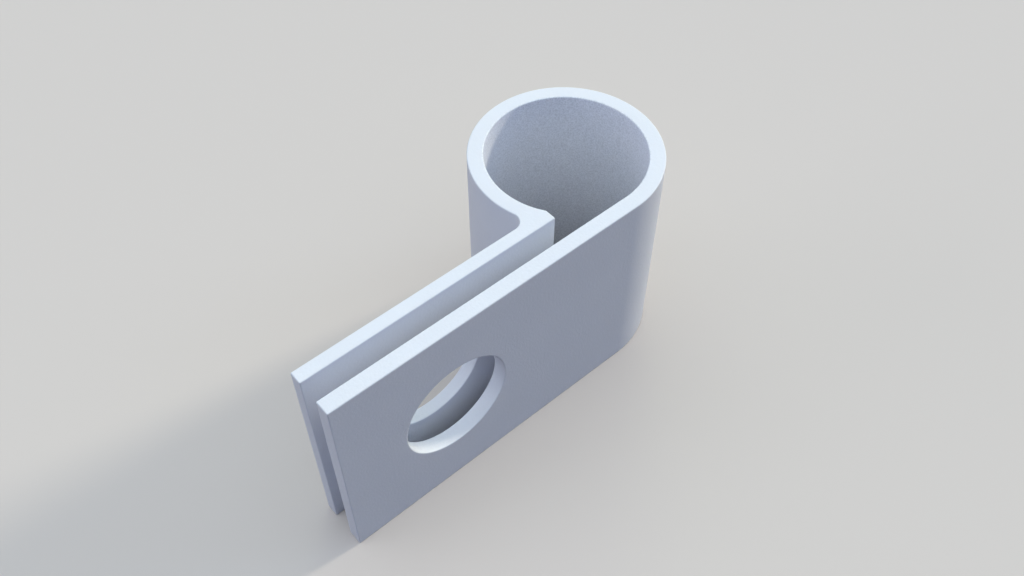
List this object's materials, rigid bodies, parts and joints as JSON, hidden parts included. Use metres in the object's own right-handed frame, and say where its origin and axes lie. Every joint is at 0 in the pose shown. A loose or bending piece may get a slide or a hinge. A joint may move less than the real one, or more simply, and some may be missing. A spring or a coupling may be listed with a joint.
{
  "type": "cable clip",
  "caption": "P-shaped moulded cable clip: a round loop holds the cable, and a screw through its flat legs fixes the clip and closes the loop.",
  "frame": {"origin": "on the axis of the screw hole, in the mounting face, half-way across the clip's width", "axes": "+X from the screw towards the cable loop, +Y out of the mounting surface, +Z along the cable"},
  "size_m": [0.0192, 0.0084, 0.01],
  "materials": {
    "moulded_nylon": "cool white moulded nylon with a fine satin surface"
  },
  "bodies": {
    "root": {"clip_body": "moulded_nylon"}
  },
  "joints": []
}
